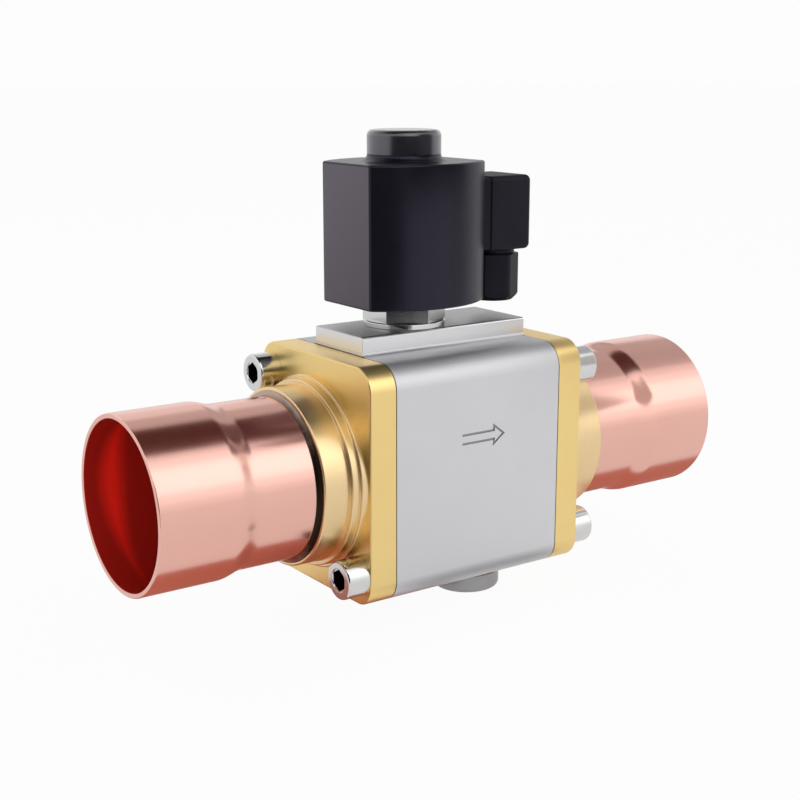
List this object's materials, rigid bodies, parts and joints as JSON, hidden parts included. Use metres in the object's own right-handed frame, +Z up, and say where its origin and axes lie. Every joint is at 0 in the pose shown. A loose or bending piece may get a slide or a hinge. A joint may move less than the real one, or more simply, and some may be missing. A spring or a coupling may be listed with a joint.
{
  "type": "piston solenoid valve",
  "caption": "In-line servo piston solenoid valve: flanged block with copper solder sockets, pilot valve and coil on top, plug connector with cable gland.",
  "frame": {"origin": "middle of the inlet socket's mouth, on the pipe axis", "axes": "+X along the flow, from inlet to outlet; +Z up towards the coil; +Y away from the side with the flow arrow"},
  "size_m": [0.282, 0.0826, 0.2028],
  "materials": {
    "satin_metal": "fine satin, bead blasted",
    "brass": "turned and milled, bright",
    "copper": "bare copper, drawn smooth",
    "braze": "silver solder fillet",
    "gasket": "flat fibre gasket",
    "polished_steel": "polished stainless steel",
    "cast_guide": "fine casting, turned in the bore",
    "sealing_plastic": "smooth low-friction plastic",
    "spring_steel": "drawn spring wire",
    "rubber": "moulded rubber",
    "core_steel": "turned magnetic steel",
    "black_moulding": "black moulded resin, semi-matt",
    "bobbin_plastic": "moulded",
    "connector_plastic": "black moulded plastic, fine grain"
  },
  "bodies": {
    "valve": {"valve_body": "satin_metal", "inlet_flange": "brass", "outlet_flange": "brass", "inlet_stub": "copper", "outlet_stub": "copper", "inlet_braze": "braze", "outlet_braze": "braze", "inlet_gasket": "gasket", "outlet_gasket": "gasket", "inlet_screws": "polished_steel", "outlet_screws": "polished_steel", "piston_guide": "cast_guide", "seat_ring": "polished_steel", "piston_spring": "spring_steel", "bottom_plug": "polished_steel", "plug_washer": "copper", "channel_plug": "brass", "pilot_seat": "polished_steel", "tube_nut": "polished_steel", "armature_tube": "polished_steel", "foot_seal": "rubber", "fixed_core": "core_steel", "shading_ring": "copper", "plunger_spring": "spring_steel", "coil_seal": "rubber", "coil_housing": "black_moulding", "magnet_yoke": "core_steel", "coil_bobbin": "bobbin_plastic", "coil_winding": "copper", "lock_nut": "polished_steel", "cap_seal": "rubber", "coil_cap": "black_moulding", "terminal_blades": "polished_steel", "connector_gasket": "rubber", "connector_housing": "connector_plastic", "terminal_block": "connector_plastic", "connector_screw": "polished_steel", "gland_nut": "connector_plastic", "gland_seal": "rubber", "gland_washer": "polished_steel"},
    "piston": {"piston": "brass", "piston_rings": "sealing_plastic", "seat_disc": "sealing_plastic", "disc_retainer": "polished_steel"},
    "plunger": {"plunger": "core_steel", "plunger_seal": "rubber"}
  },
  "joints": [
    {"name": "piston_lift", "type": "slide", "parent": "valve", "child": "piston", "axis": [-1, 0, 0], "range_m": [0, 0.011], "stiffness_N_per_m": 900, "springref_m": -0.006, "deforming": ["piston_spring"]},
    {"name": "plunger_lift", "type": "slide", "parent": "valve", "child": "plunger", "axis": [0, 0, 1], "range_m": [0, 0.0024], "stiffness_N_per_m": 400, "springref_m": -0.002, "deforming": ["plunger_spring"]}
  ]
}
